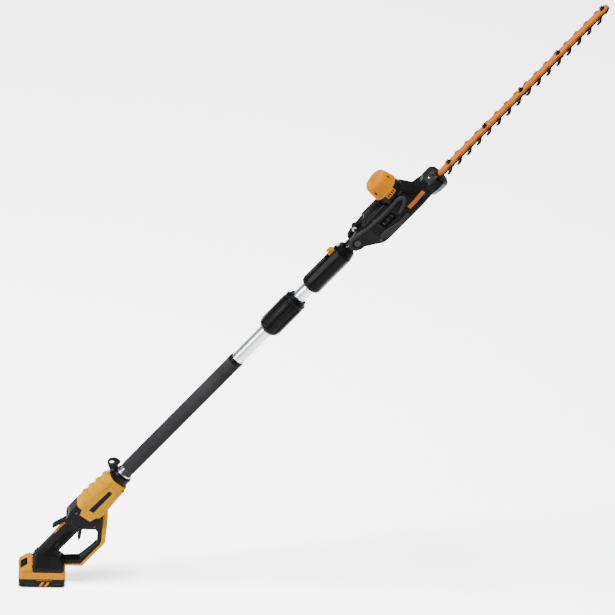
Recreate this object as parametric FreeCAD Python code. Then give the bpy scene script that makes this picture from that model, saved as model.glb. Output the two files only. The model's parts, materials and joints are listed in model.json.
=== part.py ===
import FreeCAD, Part
import math
import os
from FreeCAD import Placement, Rotation, Vector

# Battery pole hedge trimmer, resting on the flat underside of its battery pack.
# Row frame, millimetres: +Z up, +X the way the pole leans, +Y to the side.
# The origin is the centre of the battery's underside.
# Most pieces are drawn in the pole frame: x along the pole towards the blades, x = 0 just
# ahead of the handle's strap eye, z square to the pole, y shared with the row frame.

# ------------------------------------------------------------ driving dimensions
LEAN = 53.0                # pole above the horizontal, degrees
HANDLE_BACK = 418.0        # from the row origin to x = 0, along the pole
HANDLE_DROP = 49.0         # from the row origin to the pole axis, square to the pole

TUBE_R = 16.75             # outside radius of both pole tubes
TUBE_WALL = 1.6
SLEEVE_R = 18.85
SLEEVE_START = -13.0
SLEEVE_END = 430.0
TUBE_START = -150.0
TUBE_JOINT = 600.0         # where the two tubes meet inside the coupling
TUBE_END = 785.0

COLLAR_X = (544.0, 665.0)
COLLAR_R = 28.5
COLLAR_FACETS = 8
BARREL_X = (706.0, 830.0)
BARREL_R = 27.0
TONGUE_HALF_W = 12.0
TONGUE_HALF_H = 11.0
NECK_END_R = 22.0          # connector neck where the tongue begins
FACET_PLANE = 26.2         # flats on the connector barrel, from the pole axis
CLAMP_X = (-43.0, -18.0)

PIVOT_X = 883.0            # head pivot, axis along y
PIVOT_R = 6.0
TAIL_R = 19.5
CHEEK_IN = 12.6            # inner face of each head cheek
RUNNING = 0.08             # radial running clearance of pins and shafts
GAP = 0.3                  # clearance between other moving faces

MOTOR_X = 1035.0
MOTOR_BASE = 22.0          # height of the motor's seat on the head
MOTOR_SPLIT = 43.0         # height of the joint between the motor ring and its cap
MODULE = 1.0
PRESSURE = math.radians(25.0)
PINION_TEETH = 12
GEAR_TEETH = 52
BACKLASH = 0.18
CRANK_X = MOTOR_X + MODULE * (PINION_TEETH + GEAR_TEETH) / 2.0
CRANK_THROW = 7.0          # half of each blade's stroke
CAM_R = 9.5
CRANK_R = 5.0              # crank shaft above the cams
CRANK_FOOT_R = 2.0         # crank shaft below the cams
YOKE_RIM = 2.4             # blade metal left round the yoke window
WALL = 3.0

BLADE_START = 1116.0       # front face of the nose
BLADE_END = 1737.0
BLADE_T = 2.0
UPPER_Z = -38.0            # underside of the upper blade
LOWER_Z = UPPER_Z - GAP - BLADE_T
BAR_Z = UPPER_Z + BLADE_T + GAP
BAR_T = 5.0
BAR_HALF_W = 11.5
SPINE_HALF_W = 11.0
TOOTH_PITCH = 34.9
TOOTH_COUNT = 16
FIRST_TOOTH = 1178.0
BOLT_X = [1187.0, 1315.0, 1443.0, 1572.0, 1724.0]
BOLT_R = 3.0

BATTERY_HALF_L = 61.5
BATTERY_HALF_W = 39.0
BATTERY_TOP = 48.0
CASE_SPLIT = 29.0          # height of the joint between the two battery cases
CASE_WALL = 2.2
CELL_R = 9.0
CELL_LENGTH = 65.0

TRIGGER_PIVOT = (-218.0, -16.0)
LOCK_OFF_PIVOT = (-213.0, 20.0)
PIN_R = 2.0

POLE_FRAME = Placement(Vector(0, 0, 0), Rotation(Vector(0, 1, 0), -LEAN)).multiply(
    Placement(Vector(HANDLE_BACK, 0, HANDLE_DROP), Rotation()))

pieces = {}


# ------------------------------------------------------------ drawing helpers
def box(x0, x1, y0, y1, z0, z1):
    return Part.makeBox(x1 - x0, y1 - y0, z1 - z0, Vector(x0, y0, z0))


def rod_x(x0, x1, r, y=0.0, z=0.0):
    return Part.makeCylinder(r, x1 - x0, Vector(x0, y, z), Vector(1, 0, 0))


def rod_y(y0, y1, r, x, z):
    return Part.makeCylinder(r, y1 - y0, Vector(x, y0, z), Vector(0, 1, 0))


def rod_z(z0, z1, r, x, y=0.0):
    return Part.makeCylinder(r, z1 - z0, Vector(x, y, z0), Vector(0, 0, 1))


def extrude(points, step):
    wire = Part.makePolygon(points + [points[0]])
    return Part.Face(wire).extrude(step)


def slab(points, y0, y1):
    """Outline in x and z, extruded from y0 to y1."""
    return extrude([Vector(x, y0, z) for x, z in points], Vector(0, y1 - y0, 0))


def plan(points, z0, z1):
    """Outline in x and y, extruded from z0 to z1."""
    return extrude([Vector(x, y, z0) for x, y in points], Vector(0, 0, z1 - z0))


def lathe_x(profile):
    """Outline of x and radius, turned about the pole axis."""
    points = [Vector(x, 0, r) for x, r in profile]
    face = Part.Face(Part.makePolygon(points + [points[0]]))
    return face.revolve(Vector(0, 0, 0), Vector(1, 0, 0), 360)


def lathe_z(profile, x):
    """Outline of radius and z, turned about a vertical line at x."""
    points = [Vector(x + r, 0, z) for r, z in profile]
    face = Part.Face(Part.makePolygon(points + [points[0]]))
    return face.revolve(Vector(x, 0, 0), Vector(0, 0, 1), 360)


def rounded_wire(u0, u1, v0, v1, r, put):
    """Rounded rectangle whose corner points are placed in space by put."""
    c = r * (1.0 - math.sqrt(0.5))
    flat = [(u0 + r, v0), (u1 - r, v0), (u1 - c, v0 + c), (u1, v0 + r)]
    flat += [(u1, v1 - r), (u1 - c, v1 - c), (u1 - r, v1), (u0 + r, v1)]
    flat += [(u0 + c, v1 - c), (u0, v1 - r), (u0, v0 + r), (u0 + c, v0 + c)]
    points = [put(u, v) for u, v in flat]
    edges = []
    for side in range(0, 12, 3):
        edges.append(Part.LineSegment(points[side], points[side + 1]).toShape())
        corner_end = points[(side + 3) % 12]
        edges.append(Part.Arc(points[side + 1], points[side + 2], corner_end).toShape())
    return Part.Wire(edges)


def loft_x(stations):
    """Body through rounded rectangles; each station is x, half width, low z, high z, radius."""
    wires = []
    for x, half, low, high, r in stations:
        wires.append(rounded_wire(-half, half, low, high, r, lambda y, z, x=x: Vector(x, y, z)))
    return Part.makeLoft(wires, True, True)


def loft_z(stations):
    """Body through rounded rectangles; each station is z, low x, high x, half width, radius."""
    wires = []
    for z, low, high, half, r in stations:
        wires.append(rounded_wire(low, high, -half, half, r, lambda x, y, z=z: Vector(x, y, z)))
    return Part.makeLoft(wires, True, True)


def join(shapes):
    joined = shapes[0]
    for shape in shapes[1:]:
        joined = joined.fuse(shape)
    return joined.removeSplitter()


def take(shape, cutters):
    for cutter in cutters:
        shape = shape.cut(cutter)
    return shape


def place(shape):
    """Move a shape drawn in the pole frame into the row frame."""
    moved = shape.copy()
    moved.Placement = POLE_FRAME.multiply(moved.Placement)
    return moved


def keep(name, shape):
    """Hold a finished piece; each solid in it stays a separate solid."""
    solids = shape.Solids
    for solid in solids:
        if not solid.isValid() or solid.Volume < 1.0:
            raise ValueError("bad solid in " + name)
    pieces[name] = solids[0] if len(solids) == 1 else Part.makeCompound(solids)


def keep_halves(name, shape):
    """Split a casing on its middle plane into the half at -Y and the half at +Y."""
    bound = shape.BoundBox
    reach = 10.0
    x0, x1 = bound.XMin - reach, bound.XMax + reach
    z0, z1 = bound.ZMin - reach, bound.ZMax + reach
    near = box(x0, x1, bound.YMin - reach, 0.0, z0, z1)
    far = box(x0, x1, 0.0, bound.YMax + reach, z0, z1)
    keep(name + "_near", shape.common(near))
    keep(name + "_far", shape.common(far))


# ------------------------------------------------------------ pole and coupling
def make_pole():
    bore = TUBE_R - TUBE_WALL
    lower = rod_x(TUBE_START, TUBE_JOINT - 1.0, TUBE_R).cut(
        rod_x(TUBE_START - 1.0, TUBE_JOINT, bore))
    upper = rod_x(TUBE_JOINT, TUBE_END, TUBE_R).cut(rod_x(TUBE_JOINT - 1.0, TUBE_END + 1.0, bore))
    keep("lower_tube", place(lower))
    keep("upper_tube", place(upper))
    sleeve = rod_x(SLEEVE_START, SLEEVE_END, SLEEVE_R).cut(
        rod_x(SLEEVE_START - 1.0, SLEEVE_END + 1.0, TUBE_R))
    window = box(SLEEVE_START - 1.0, SLEEVE_START + 11.0, -14.0, 2.0, 8.0, 20.0)
    keep("foam_sleeve", place(sleeve.cut(window)))
    start = CLAMP_X[1]
    ferrule = lathe_x([(start, TUBE_R), (start, 22.0), (start + 3.5, 21.0), (start + 3.5, TUBE_R)])
    keep("pole_ferrule", place(ferrule))
    lead = rod_x(TUBE_START + 18.0, TUBE_END - 6.0, 4.0)
    keep("pole_lead", place(lead))


def make_coupling():
    x0, x1 = COLLAR_X
    socket = lathe_x([(x0 + 13, TUBE_R), (x0 + 13, 21.0), (x1 - 18, 21.0), (x1 - 18, TUBE_R)])
    keep("coupling_socket", place(socket))
    outer = lathe_x([(x0, 0), (x0, 22.0), (x0 + 7, 27.6), (x0 + 12, COLLAR_R), (x1 - 14, COLLAR_R),
                     (x1 - 8, 26.0), (x1, 22.5), (x1, 0)])
    bore = lathe_x([(x0 - 1, 0), (x0 - 1, TUBE_R + GAP), (x0 + 12.5, TUBE_R + GAP),
                    (x0 + 12.5, 21.0 + GAP), (x1 - 17.5, 21.0 + GAP),
                    (x1 - 17.5, TUBE_R + GAP), (x1 + 1, TUBE_R + GAP), (x1 + 1, 0)])
    collar = outer.cut(bore)
    ring_groove = lathe_x([(x1 - 19, 27.0), (x1 - 19, 30.0), (x1 - 16.5, 30.0), (x1 - 16.5, 27.0)])
    collar = collar.cut(ring_groove)
    for facet in range(COLLAR_FACETS):
        flute = rod_x(x0 + 4, x1 - 19, 1.7, 0.0, COLLAR_R + 0.2)
        flute.rotate(Vector(0, 0, 0), Vector(1, 0, 0), 360.0 * (facet + 0.5) / COLLAR_FACETS)
        collar = collar.cut(flute)
    keep("coupling_collar", place(collar))


# ------------------------------------------------------------ head connector
def make_connector():
    x0, x1 = BARREL_X
    neck_end = PIVOT_X - 35.5
    barrel = lathe_x([(x0 + 7, 0), (x0 + 7, 26.0), (x0 + 10, BARREL_R), (x1, BARREL_R),
                      (neck_end, NECK_END_R), (neck_end, 0)])
    for turn in range(0, 360, 45):
        flat = box(x0 + 20, x1 - 2, -20, 20, FACET_PLANE, 40)
        flat.rotate(Vector(0, 0, 0), Vector(1, 0, 0), turn)
        barrel = barrel.cut(flat)
    tongue = box(x1 - 10, PIVOT_X, -TONGUE_HALF_W, TONGUE_HALF_W, -TONGUE_HALF_H, TONGUE_HALF_H)
    knuckle = rod_y(-TONGUE_HALF_W, TONGUE_HALF_W, 14.0, PIVOT_X, 0)
    body = join([barrel, tongue, knuckle])
    tube_seat = rod_x(x0, TUBE_END, TUBE_R)
    pocket = rod_x(TUBE_END - 1, x1 - 4, 15.0)
    lock_slot = box(x1 - 20, PIVOT_X + 20, -3.0, 3.0, -13.5, 14.5)
    knob_slot = box(x1 - 34, x1 - 1, -4.0, 4.0, 10, 30)
    knob_seat = box(x1 - 36, x1 + 5, -9.5, 9.5, 22.5, 32)
    pivot_hole = rod_y(-30, 30, PIVOT_R + RUNNING, PIVOT_X, 0)
    plug = rod_z(12.0, 26.0, 5.5, x1 + 11.0)
    body = take(body, [tube_seat, pocket, lock_slot, knob_slot, knob_seat, pivot_hole, plug])
    keep_halves("connector_half", place(body))
    ring = lathe_x([(x0, TUBE_R), (x0, 22.5), (x0 + 3, 25.5), (x0 + 7, 25.5), (x0 + 7, TUBE_R)])
    keep("connector_end_ring", place(ring))
    keep("knurled_plug", place(plug.cut(box(x1, x1 + 20, -3.1, 3.1, 10, 14.6))))


def make_head_lock():
    x1 = BARREL_X[1]
    bar = box(x1 - 12, PIVOT_X - 12.6, -2.6, 2.6, -4, 4)
    post = box(x1 - 12, x1 - 6, -2.6, 2.6, -4, 22.8)
    bar = bar.fuse(post).removeSplitter()
    keep("head_lock_bar", place(bar))
    grip = loft_z([(22.8, x1 - 24, x1 - 4, 7.5, 3.0), (27.5, x1 - 24, x1 - 4, 7.5, 3.0),
                   (35.0, x1 - 17, x1 - 6, 6.0, 3.0)])
    keep("head_lock_knob", place(grip))
    spring = lathe_x([(x1 - 40, 3.0), (x1 - 40, 6.0), (x1 - 21, 6.0), (x1 - 21, 3.0)])
    keep("head_lock_spring", place(spring))
    disc = rod_y(-2.5, 2.5, 12.0, PIVOT_X, 0)
    for step in range(-3, 4):
        angle = math.radians(180.0 + 30.0 * step)
        cx = PIVOT_X + 12.0 * math.cos(angle)
        cz = 12.0 * math.sin(angle)
        disc = disc.cut(rod_y(-3, 3, 2.0, cx, cz))
    disc = disc.cut(rod_y(-3, 3, PIVOT_R, PIVOT_X, 0))
    keep("index_disc", place(disc))


# ------------------------------------------------------------ head casing and motor
HEAD_LOW = -50.0
HEAD_STATIONS = [
    (PIVOT_X, 22.0, -19.0, 19.0, 4.0),
    (910.0, 27.0, -37.0, 25.0, 7.0),
    (924.0, 31.0, -45.5, 25.3, 8.0),
    (932.0, 33.0, -48.0, 25.5, 9.0),
    (936.0, 33.0, -49.0, 29.0, 10.0),
    (944.0, 33.0, HEAD_LOW, 29.0, 10.0),
    (1012.0, 33.0, HEAD_LOW, 29.0, 10.0),
    (1016.0, 33.0, HEAD_LOW, 22.5, 10.0),
    (1064.0, 33.0, HEAD_LOW, 22.5, 10.0),
    (1080.0, 29.5, HEAD_LOW, -6.5, 9.0),
    (BLADE_START, 25.5, HEAD_LOW, -11.0, 8.0),
]
NOSE_SLOPE_X = 1060.0      # ahead of here the inner skin steps back to keep its thickness
NOSE_SLOPE_STEP = 4.0
VENT_X = (962.0, 1007.0)
LUG = (904.0, 26.8)
LUG_R = 7.6
LUG_HALF_W = 8.0


def motor_opening(z0, z1):
    return rod_z(z0, z1, 27.0, MOTOR_X)


def make_head_casing():
    outer = loft_x(HEAD_STATIONS)
    tail = rod_y(-22.0, 22.0, TAIL_R, PIVOT_X, 0)
    inner_stations = []
    for x, half, low, high, r in HEAD_STATIONS[1:-1]:
        back = NOSE_SLOPE_STEP if x > NOSE_SLOPE_X else 0.0
        inner_stations.append((x - back, half - WALL, low + WALL, high - WALL, r - WALL))
    inner_stations.append((BLADE_START - 11.0, 22.5, HEAD_LOW + WALL, -14.0, 5.0))
    cavity = loft_x(inner_stations)
    slot = box(PIVOT_X - 40, 907.0, -CHEEK_IN, CHEEK_IN, -60, 60)
    motor_seat = rod_z(MOTOR_BASE - 0.1, 45, 40.0, MOTOR_X)
    body = join([outer, tail])
    vent = box(VENT_X[0], VENT_X[1], 20, 40, -20, 2)
    vent_near = box(VENT_X[0], VENT_X[1], -40, -20, -20, 2)
    blade_slot = box(BLADE_START - 14, BLADE_START + 1, -12.2, 12.2, LOWER_Z - 0.6, BAR_Z + BAR_T)
    top_recess = box(925, 1000, -13.0, 13.0, 25.0, 40)
    pivot = rod_y(-40, 40, PIVOT_R, PIVOT_X, 0)
    bolt_head = rod_y(-40, -20.0, 9.0, PIVOT_X, 0)
    nut_seat = rod_y(20.0, 40, 9.0, PIVOT_X, 0)
    body = take(body, [cavity, slot, motor_seat, motor_opening(-5, 30), vent, vent_near,
                       blade_slot, top_recess, pivot, bolt_head, nut_seat])
    lug_web = slab([(LUG[0], LUG[1] - LUG_R), (LUG[0], LUG[1] + LUG_R), (922, 29), (928, 26),
                    (928, 23.5), (910, 22.5)], -LUG_HALF_W, LUG_HALF_W)
    body = join([body, rod_y(-LUG_HALF_W, LUG_HALF_W, LUG_R, LUG[0], LUG[1]), lug_web])
    body = take(body, [lug_screw(side) for side in (-1, 1)] + case_screws())
    body = take(body, [bar_screw(side) for side in (-1, 1)])
    body = take(body, [guard_screw(side) for side in (-1, 1)])
    keep_halves("head_shell", place(body))
    keep("casing_screws", place(Part.makeCompound(case_screws())))
    keep("yoke_screws", place(Part.makeCompound([lug_screw(side) for side in (-1, 1)])))
    bolt = join([rod_y(-24.0, -20.0, 8.5, PIVOT_X, 0), rod_y(-20.0, 20.0, PIVOT_R, PIVOT_X, 0)])
    nut = rod_y(20.0, 25.0, 8.0, PIVOT_X, 0)
    keep("pivot_bolt_and_nut", place(Part.makeCompound([bolt, nut])))
    keep("vent_grilles", place(Part.makeCompound([vent_grille(-1), vent_grille(1)])))


def lug_screw(side):
    shank = rod_y(2.0, LUG_HALF_W, 3.0, LUG[0], LUG[1])
    head = rod_y(LUG_HALF_W, 12.5, 6.8, LUG[0], LUG[1])
    screw = shank.fuse(head).removeSplitter()
    if side < 0:
        screw = screw.mirror(Vector(0, 0, 0), Vector(0, 1, 0))
    return screw


def case_screws():
    screws = []
    for x, z in ((931.0, -34.0), (1003.0, -40.0), (1091.0, -30.0), (960.0, 17.0)):
        shank = rod_y(-24.0, 18.0, 1.8, x, z)
        head = rod_y(-33.0, -24.0, 3.2, x, z).common(loft_x(HEAD_STATIONS))
        screws.append(shank.fuse(head).removeSplitter())
    return screws


def vent_grille(side):
    x0, x1 = VENT_X
    frame = box(x0, x1, 20.0, 30.5, -20, 2)
    frame = frame.cut(box(x0 + 2.5, x1 - 2.5, 23.0, 31, -17.5, -0.5))
    bars = [box(x0 + 2.5, x1 - 2.5, 23.0, 29.0, z, z + 1.8) for z in (-14.5, -10.0, -5.5)]
    grille = join([frame] + bars)
    for z in (-16.9, -12.5, -8.0, -3.2):
        grille = grille.cut(box(x0 + 5, x1 - 5, 19.5, 23.5, z, z + 1.6))
    if side < 0:
        grille = grille.mirror(Vector(0, 0, 0), Vector(0, 1, 0))
    return grille


def make_motor():
    housing = lathe_z([(27.0, MOTOR_BASE), (34.5, MOTOR_BASE), (34.5, MOTOR_SPLIT),
                       (27.0, MOTOR_SPLIT)], MOTOR_X)
    keep("motor_ring", place(housing))
    outer = lathe_z([(0, MOTOR_SPLIT), (35.5, MOTOR_SPLIT), (34.9, 52.0), (32.3, 72.0),
                     (28.3, 80.0), (0, 80.0)],
                    MOTOR_X)
    inner = lathe_z([(0, 42.0), (32.3, 42.0), (31.8, 52.0), (29.5, 71.0), (26.0, 77.0), (0, 77.0)],
                    MOTOR_X)
    boss = lathe_z([(7.5, 71.0), (11.0, 71.0), (11.0, 78.0), (7.5, 78.0)], MOTOR_X)
    cap = join([outer.cut(inner), boss])
    for turn in (-120, -20, 70, 160):
        slot = box(MOTOR_X + 24, MOTOR_X + 40, -3.0, 3.0, 58.0, 68.0)
        slot.rotate(Vector(MOTOR_X, 0, 0), Vector(0, 0, 1), turn)
        cap = cap.cut(slot)
    keep("motor_cap", place(cap))
    keep("motor_stator", place(lathe_z([(19.4, 24.0), (27.0, 24.0), (27.0, 64.0), (19.4, 64.0)],
                                       MOTOR_X)))
    rotor = lathe_z([(0, -14.0), (4.0, -14.0), (4.0, 30.0), (18.7, 30.0), (18.7, 62.0),
                     (4.0, 62.0), (4.0, 76.0), (0, 76.0)], MOTOR_X)
    keep("motor_rotor", place(rotor.fuse(rod_z(-25.0, -14.0, 3.0, MOTOR_X)).removeSplitter()))
    hub = lathe_z([(4.0, 64.5), (9.0, 64.5), (9.0, 69.5), (4.0, 69.5)], MOTOR_X)
    vanes = []
    for vane in range(9):
        blade = box(MOTOR_X + 7.0, MOTOR_X + 26.0, -0.8, 0.8, 65.2, 69.5)
        blade.rotate(Vector(MOTOR_X, 0, 0), Vector(0, 0, 1), 40.0 * vane)
        vanes.append(blade)
    keep("cooling_fan", place(join([hub] + vanes)))
    rotor_bearing = [(4.0 + RUNNING, 0), (7.5, 0), (7.5, 5.0), (4.0 + RUNNING, 5.0)]
    bearings = [lathe_z([(r, z + base) for r, z in rotor_bearing], MOTOR_X)
                for base in (-12.0, 71.5)]
    keep("rotor_bearings", place(Part.makeCompound(bearings)))


def gear(teeth, x, phase, z0, z1, bore):
    """Involute spur gear about a vertical line at x."""
    pitch_r = MODULE * teeth / 2.0
    base_r = pitch_r * math.cos(PRESSURE)
    root_r = pitch_r - 1.25 * MODULE
    tip_r = pitch_r + MODULE
    start_r = max(base_r, root_r)
    half = math.pi / (2.0 * teeth) - BACKLASH / (2.0 * pitch_r)
    at_pitch = half + math.tan(PRESSURE) - PRESSURE
    flank = []
    for step in range(5):
        r = start_r + (tip_r - start_r) * step / 4.0
        roll = math.acos(min(1.0, base_r / r))
        flank.append((r, at_pitch - (math.tan(roll) - roll)))
    flank = [(root_r, flank[0][1])] + flank if root_r < start_r else flank
    points = []
    for tooth in range(teeth):
        centre = phase + 2.0 * math.pi * tooth / teeth
        rising = [(r, centre - a) for r, a in flank]
        falling = [(r, centre + a) for r, a in reversed(flank)]
        for r, a in rising + falling:
            points.append((x + r * math.cos(a), r * math.sin(a)))
    return plan(points, z0, z1).cut(rod_z(z0 - 1, z1 + 1, bore, x))


def make_gearing():
    keep("pinion", place(gear(PINION_TEETH, MOTOR_X, math.pi / PINION_TEETH, -24.5, -15.0, 3.0)))
    keep("crank_gear", place(gear(GEAR_TEETH, CRANK_X, math.pi, -24.0, -16.0,
                                  CRANK_R)))
    shaft = rod_z(UPPER_Z + 5.0, -10.5, CRANK_R, CRANK_X)
    upper_cam = rod_z(UPPER_Z - 0.1, UPPER_Z + 5.0, CAM_R, CRANK_X, CRANK_THROW)
    lower_cam = rod_z(LOWER_Z - 0.4, UPPER_Z - 0.1, CAM_R, CRANK_X, -CRANK_THROW)
    foot = rod_z(HEAD_LOW + WALL, LOWER_Z - 0.4, CRANK_FOOT_R, CRANK_X)
    keep("crank_shaft", place(join([shaft, upper_cam, lower_cam, foot])))
    shaft_r = CRANK_R + RUNNING
    upper = lathe_z([(shaft_r, -14.5), (8.5, -14.5), (8.5, -10.0), (shaft_r, -10.0)], CRANK_X)
    foot_r = CRANK_FOOT_R + RUNNING
    lower = lathe_z([(foot_r, HEAD_LOW + WALL), (7.0, HEAD_LOW + WALL), (7.0, -44.0),
                     (foot_r, -44.0)], CRANK_X)
    keep("crank_bearings", place(Part.makeCompound([upper, lower])))
    side = [(1010, 19.5), (1031, 19.5), (1036, 25), (1060, 25), (1076, 19), (1079, 19)]
    mirrored = [(x, -y) for x, y in reversed(side)]
    gear_plate = plan(side + mirrored, -14.0, -10.0)
    gear_plate = take(gear_plate, [rod_z(-15, -6, 8.5, CRANK_X), rod_z(-15, -6, 7.5, MOTOR_X)])
    keep("gearcase_plate", place(gear_plate))


# ------------------------------------------------------------ blades, bar and guard
def tooth_outline(centre, side):
    """One hooked tooth from the spine out and back, for the side +1 or -1."""
    shape = [(-7, SPINE_HALF_W), (-2.5, 18.5), (-3.5, 23), (-8.5, 24.5), (-10, 27.5), (-5, 30),
             (1, 29.5), (5, 26), (6.5, 19), (10, SPINE_HALF_W)]
    return [(centre + x, side * y) for x, y in shape]


def yoke_window():
    """Half length and half width of the opening round the crank cam."""
    return CAM_R + 2.0 * CRANK_THROW + 0.4, CAM_R + CRANK_THROW + 0.4


def blade_outline():
    top = []
    bottom = []
    for tooth in range(TOOTH_COUNT):
        centre = FIRST_TOOTH + TOOTH_PITCH * tooth
        top += tooth_outline(centre, 1)
        bottom += tooth_outline(centre, -1)
    reach, yoke = [half + YOKE_RIM for half in yoke_window()]
    back = CRANK_X - reach
    neck = CRANK_X + reach
    start = [(back, -yoke), (back, yoke), (neck, yoke), (neck, SPINE_HALF_W)]
    end = [(BLADE_END - 6, SPINE_HALF_W), (BLADE_END, 6), (BLADE_END, -6),
           (BLADE_END - 6, -SPINE_HALF_W)]
    return start + top + end + list(reversed(bottom)) + [(neck, -SPINE_HALF_W), (neck, -yoke)]


def bolt_slot(x, z0, z1):
    reach = CRANK_THROW + 0.2
    middle = box(x - reach, x + reach, -BOLT_R - 0.3, BOLT_R + 0.3, z0, z1)
    ends = [rod_z(z0, z1, BOLT_R + 0.3, x - reach), rod_z(z0, z1, BOLT_R + 0.3, x + reach)]
    return join([middle] + ends)


def make_blades():
    reach, yoke = yoke_window()
    for name, low in (("upper_blade", UPPER_Z), ("lower_blade", LOWER_Z)):
        blade = plan(blade_outline(), low, low + BLADE_T)
        cutters = [bolt_slot(x, low - 1, low + BLADE_T + 1) for x in BOLT_X]
        cutters.append(box(CRANK_X - reach, CRANK_X + reach, -yoke, yoke, low - 1,
                           low + BLADE_T + 1))
        keep(name, place(take(blade, cutters)))
    bar_top = BAR_Z + BAR_T
    bar = plan([(BLADE_START - 13, -BAR_HALF_W), (BLADE_END - 8, -BAR_HALF_W), (BLADE_END, -6),
                (BLADE_END, 6), (BLADE_END - 8, BAR_HALF_W), (BLADE_START - 13, BAR_HALF_W)],
               BAR_Z, bar_top)
    bar = take(bar, [rod_z(BAR_Z - 1, bar_top + 1, BOLT_R, x) for x in BOLT_X])
    bar = take(bar, [bar_screw(side) for side in (-1, 1)])
    keep("blade_bar", place(bar))
    bolts = []
    nuts = []
    nut_top = LOWER_Z - GAP
    for x in BOLT_X:
        bolts.append(join([rod_z(nut_top - 4.0, bar_top, BOLT_R, x),
                           rod_z(bar_top, bar_top + 2.0, 6.5, x),
                           rod_z(bar_top + 2.0, bar_top + 8.0, 4.6, x)]))
        nuts.append(rod_z(nut_top - 4.0, nut_top, 6.0, x).cut(
            rod_z(nut_top - 5.0, nut_top + 1, BOLT_R, x)))
    keep("blade_bolts", place(Part.makeCompound(bolts)))
    keep("blade_nuts", place(Part.makeCompound(nuts)))


def bar_screw(side):
    return rod_z(BAR_Z, -20.0, 2.0, BLADE_START - 6.0, side * 8.0)


def guard_screw(side):
    return rod_x(BLADE_START - 8.0, BLADE_START + 4.5, 1.8, side * 17.0, -31.0)


def octagon(x, apothem, centre_z):
    radius = apothem / math.cos(math.pi / 8.0)
    points = []
    for corner in range(8):
        angle = math.pi / 8.0 + corner * math.pi / 4.0
        points.append(Vector(x, radius * math.cos(angle), centre_z + radius * math.sin(angle)))
    return Part.makePolygon(points + [points[0]])


GUARD_MIDDLE = -35.0
GUARD_BACK = 1100.0
GUARD_FRONT = 1147.0
GUARD_R = 29.0             # from its middle to each flat
GUARD_WALL = 3.0


def make_guard():
    outer = Part.makeLoft([octagon(GUARD_BACK, 25.0, GUARD_MIDDLE),
                           octagon(BLADE_START + 2, GUARD_R, GUARD_MIDDLE),
                           octagon(GUARD_FRONT - 6, GUARD_R, GUARD_MIDDLE),
                           octagon(GUARD_FRONT, 26.0, GUARD_MIDDLE)], True, True)
    inside = GUARD_R - GUARD_WALL
    inner = Part.makeLoft([octagon(BLADE_START + GUARD_WALL, inside, GUARD_MIDDLE),
                           octagon(GUARD_FRONT - GUARD_WALL - 4, inside, GUARD_MIDDLE),
                           octagon(GUARD_FRONT - GUARD_WALL, 24.0, GUARD_MIDDLE)], True, True)
    slot = box(BLADE_START - 1, GUARD_FRONT + 1, -12.2, 12.2, LOWER_Z - 0.6, BAR_Z + BAR_T + GAP)
    nose = loft_x(HEAD_STATIONS)
    guard = take(outer, [inner, slot, nose] + [guard_screw(side) for side in (-1, 1)])
    keep("blade_guard", place(guard))
    screws = [bar_screw(side) for side in (-1, 1)] + [guard_screw(side) for side in (-1, 1)]
    keep("nose_screws", place(Part.makeCompound(screws)))


# ------------------------------------------------------------ handle
FRONT_TO_REAR = [(-163, 60), (-163, 22), (-179, 16), (-179, -17.5), (-160, -23), (-150, -42),
                 (-150, -60)]


def world_to_pole(points):
    back = POLE_FRAME.inverse()
    local = [back.multVec(Vector(x, 0, z)) for x, z in points]
    return [(p.x, p.z) for p in local]


TRIM_INSIDE = [(57, 61.5), (99, 62.5), (148.5, 127.5), (151.5, 142), (152.5, 232)]
LOOP_TRIM = [(165, 238), (165.5, 200), (161.5, 132), (104.5, 56.5), (57, 56.5)] + TRIM_INSIDE
LOOP_BLACK = TRIM_INSIDE + [(128, 200), (136, 178), (141, 165), (140, 122), (95, 76), (54, 74),
                            (30, 78), (30, 61.5)]
SCALLOP_DEPTH = 2.8
COVER_STATIONS = [(CLAMP_X[0], 25.0, -28, 27, 12), (-60, 27.0, -31, 32, 13),
                  (-150, 27.5, -37, 38, 13), (-195, 27.5, -37, 38, 13)]


def front_region():
    """Everything ahead of the joint line between the yellow and the black casings."""
    edge = [(0, 60)] + FRONT_TO_REAR + [(0, -60)]
    return slab(edge, -60, 60)


def make_clamp():
    x0, x1 = CLAMP_X
    ring = lathe_x([(x0, TUBE_R), (x0, 25.0), (x0 + 5, 27.0), (x1 - 6, 27.0), (x1, 23.0),
                    (x1, TUBE_R)])
    ear = slab([(x0, 20), (-30, 40), (-22, 52), (-17, 57), (-7, 57), (-2, 52), (0, 40), (-6, 29),
                (x1, 24), (x1, 20)], -3.5, 3.5).cut(rod_x(-60, 10, TUBE_R))
    clamp = take(join([ring, ear]), [rod_y(-5, 5, 5.5, -12, 46), rod_y(-5, 5, 2.5, -28, 32.5)])
    keep("strap_clamp", place(clamp))
    screw = join([rod_y(-6.0, -3.5, 4.5, -28, 32.5), rod_y(-3.5, 3.5, 2.5, -28, 32.5)])
    nut = rod_y(3.5, 6.5, 4.0, -28, 32.5)
    keep("clamp_screw_and_nut", place(Part.makeCompound([screw, nut])))


def make_front_covers():
    outer = loft_x(COVER_STATIONS)
    thick = WALL + SCALLOP_DEPTH
    inner = loft_x([(x, half - WALL, low + thick, high - thick, r - WALL)
                    for x, half, low, high, r in COVER_STATIONS[1:]])
    front = CLAMP_X[0]
    collar = rod_x(front - 37, front, 24.0)
    body = join([outer.cut(inner), collar.common(outer)]).cut(rod_x(-200, front + 1, TUBE_R))
    body = body.common(front_region())
    for bump in range(4):
        x = -73.0 - 25.0 * bump
        body = body.cut(rod_y(-40, 40, 9.0, x, 38.6 + 1.6 * bump))
        body = body.cut(rod_y(-40, 40, 9.0, x - 8, -38.6 - 1.4 * bump))
    screw_set = handle_screws(((-52.0, -24.5), (-140.0, 30.0)))
    body = take(body, screw_set)
    keep_halves("front_cover", place(body))
    return screw_set


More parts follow.
